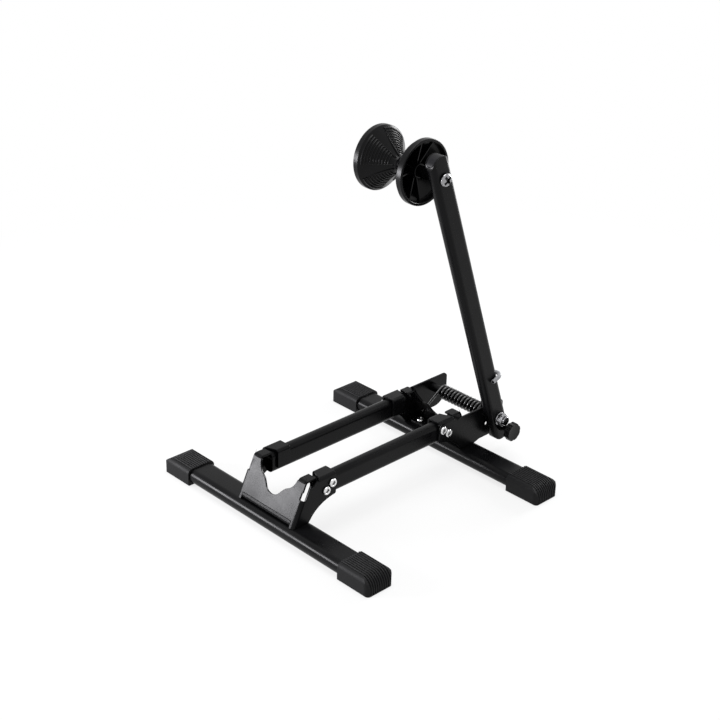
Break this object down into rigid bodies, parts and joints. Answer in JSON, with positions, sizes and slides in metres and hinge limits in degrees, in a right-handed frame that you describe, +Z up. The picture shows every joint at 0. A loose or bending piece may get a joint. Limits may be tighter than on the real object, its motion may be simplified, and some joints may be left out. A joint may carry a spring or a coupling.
{
  "type": "floor bike rack",
  "caption": "Folding floor stand for one bicycle: capped cross feet and twin rails with notched brackets, and a sprung side arm whose hour-glass roller holds the wheel.",
  "frame": {"origin": "middle of the footprint, on the floor", "axes": "+X from the front foot to the rear foot and the arm's pivot, +Y away from the arm's side, +Z up"},
  "size_m": [0.4018, 0.4, 0.4815],
  "materials": {
    "paint": "satin black powder coat",
    "rubber": "matte black",
    "plastic": "black moulded plastic, slight sheen",
    "plug": "dark grey moulded plastic",
    "chrome": "bright plated",
    "spring": "gloss black",
    "sleeve": "light grey plastic sleeve"
  },
  "bodies": {
    "frame": {"front_foot_tube": "paint", "front_far_cap": "rubber", "front_near_cap": "rubber", "front_bracket": "paint", "front_far_rail_bolt_1": "chrome", "front_far_rail_bolt_2": "chrome", "front_far_base_bolt": "chrome", "front_near_rail_bolt_1": "chrome", "front_near_rail_bolt_2": "chrome", "front_near_base_bolt": "chrome", "rear_foot_tube": "paint", "rear_far_cap": "rubber", "rear_near_cap": "rubber", "rear_bracket": "paint", "rear_far_rail_bolt_1": "chrome", "rear_far_rail_bolt_2": "chrome", "rear_far_base_bolt": "chrome", "rear_near_rail_bolt_1": "chrome", "rear_near_rail_bolt_2": "chrome", "rear_near_base_bolt": "chrome", "pivot_bolt": "chrome", "pivot_nut": "chrome", "pivot_sleeve": "paint", "pivot_spacer": "chrome", "torsion_spring": "spring", "rail_far": "paint", "rail_near": "paint"},
    "arm": {"arm_tube": "paint", "arm_top_plug": "plug", "arm_bottom_plug": "plug", "arm_pivot_bush": "chrome", "lock_bush": "paint", "roller_axle": "chrome", "roller_spacer": "plastic", "roller_nut": "chrome", "hook_sleeve": "sleeve", "lock_spring": "chrome"},
    "roller": {"roller_far": "plastic", "roller_near": "plastic"},
    "lock": {"lock_pin": "chrome", "lock_knob": "plastic"}
  },
  "joints": [
    {"name": "arm_fold", "type": "hinge", "parent": "frame", "child": "arm", "pos_m": [0.17095, 0, 0.0605], "axis": [0, -1, 0], "range_deg": [-50, 71], "stiffness_Nm_per_rad": 1, "springref_deg": 71.05, "deforming": ["torsion_spring"]},
    {"name": "roller_spin", "type": "hinge", "parent": "arm", "child": "roller", "pos_m": [0.03468, 0, 0.43902], "axis": [0, 1, 0], "continuous": true},
    {"name": "lock_pin_pull", "type": "slide", "parent": "arm", "child": "lock", "axis": [0, -1, 0], "range_m": [0, 0.007], "stiffness_N_per_m": 600, "springref_m": -0.004, "deforming": ["lock_spring"]}
  ]
}
